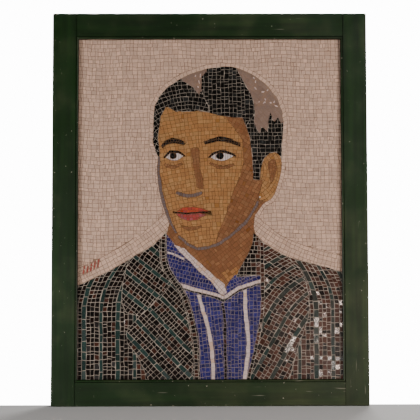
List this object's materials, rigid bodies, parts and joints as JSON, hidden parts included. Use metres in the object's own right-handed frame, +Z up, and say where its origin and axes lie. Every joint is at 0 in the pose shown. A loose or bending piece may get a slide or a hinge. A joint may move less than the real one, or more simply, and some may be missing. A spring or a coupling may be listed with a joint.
{
  "type": "framed mosaic panel",
  "caption": "Upright wall panel: a portrait bust in small glass tesserae on a mortared board, set behind the sight edge of a flat painted timber frame.",
  "frame": {"origin": "middle of the top rail's back face, where the panel hangs on the wall", "axes": "+Z up, +Y from the picture's face into the wall, +X to the right as the picture is looked at"},
  "size_m": [0.804, 0.0319, 1],
  "materials": {
    "frame_paint": "timber under worn dark green oil paint",
    "board": "raw plywood",
    "mortar": "pale pinkish cement grout, matt",
    "glass_ground": "pale rose-beige glass paste, satin",
    "glass_hair": "black glass paste, glossy",
    "glass_highlight": "mauve-grey glass paste, satin",
    "glass_skin": "ochre-brown glass paste, satin",
    "glass_shade": "darker brown glass paste, satin",
    "glass_contour": "grey-mauve glass paste, satin",
    "glass_eye_white": "off-white glass paste, satin",
    "glass_lip_upper": "orange-red glass paste, satin",
    "glass_lip_lower": "red glass paste, satin",
    "glass_shirt": "deep blue glass paste, satin",
    "glass_shirt_white": "off-white glass paste, satin",
    "glass_cloth": "brown-black glass paste with dull teal stripes, glossy"
  },
  "bodies": {
    "root": {"backing_board": "board", "mortar_bed": "mortar", "frame_top_rail": "frame_paint", "frame_bottom_rail": "frame_paint", "frame_left_stile": "frame_paint", "frame_right_stile": "frame_paint", "mosaic_ground": "glass_ground", "mosaic_ground_head": "glass_ground", "mosaic_ground_left_shoulder": "glass_ground", "mosaic_ground_right_shoulder": "glass_ground", "mosaic_top_hair": "glass_hair", "mosaic_front_hair": "glass_hair", "mosaic_side_hair": "glass_hair", "mosaic_crown_highlight": "glass_highlight", "mosaic_front_highlight": "glass_highlight", "mosaic_brow_far": "glass_hair", "mosaic_brow_near": "glass_hair", "mosaic_upper_lid_far": "glass_hair", "mosaic_upper_lid_near": "glass_hair", "mosaic_iris_far": "glass_hair", "mosaic_iris_near": "glass_hair", "mosaic_eye_far": "glass_eye_white", "mosaic_eye_near": "glass_eye_white", "mosaic_mouth_line": "glass_hair", "mosaic_upper_lip": "glass_lip_upper", "mosaic_lower_lip": "glass_lip_lower", "mosaic_nose_base": "glass_contour", "mosaic_jaw_contour": "glass_contour", "mosaic_far_cheek_contour": "glass_contour", "mosaic_nose_side": "glass_shade", "mosaic_chin_shade": "glass_shade", "mosaic_far_eye_shade": "glass_shade", "mosaic_near_eye_shade": "glass_shade", "mosaic_near_cheek_shade": "glass_shade", "mosaic_face": "glass_skin", "mosaic_ear": "glass_skin", "mosaic_ear_hollow": "glass_shade", "mosaic_neck": "glass_shade", "mosaic_shirt_front_left": "glass_shirt", "mosaic_shirt_front_right": "glass_shirt", "mosaic_shirt_left_side": "glass_shirt", "mosaic_shirt_right_side": "glass_shirt", "mosaic_left_collar_leaf": "glass_shirt", "mosaic_right_collar_leaf": "glass_shirt", "mosaic_piping_left": "glass_shirt_white", "mosaic_piping_right": "glass_shirt_white", "mosaic_collar_fold": "glass_shirt_white", "mosaic_left_stripe": "glass_shirt_white", "mosaic_right_stripe": "glass_shirt_white", "mosaic_collar_shadow": "glass_hair", "mosaic_placket": "glass_cloth", "mosaic_left_edge": "glass_cloth", "mosaic_right_edge": "glass_cloth", "mosaic_left_collar": "glass_cloth", "mosaic_right_collar": "glass_cloth", "mosaic_left_lapel": "glass_cloth", "mosaic_right_lapel": "glass_cloth", "mosaic_left_sleeve": "glass_cloth", "mosaic_right_sleeve": "glass_cloth"}
  },
  "joints": []
}
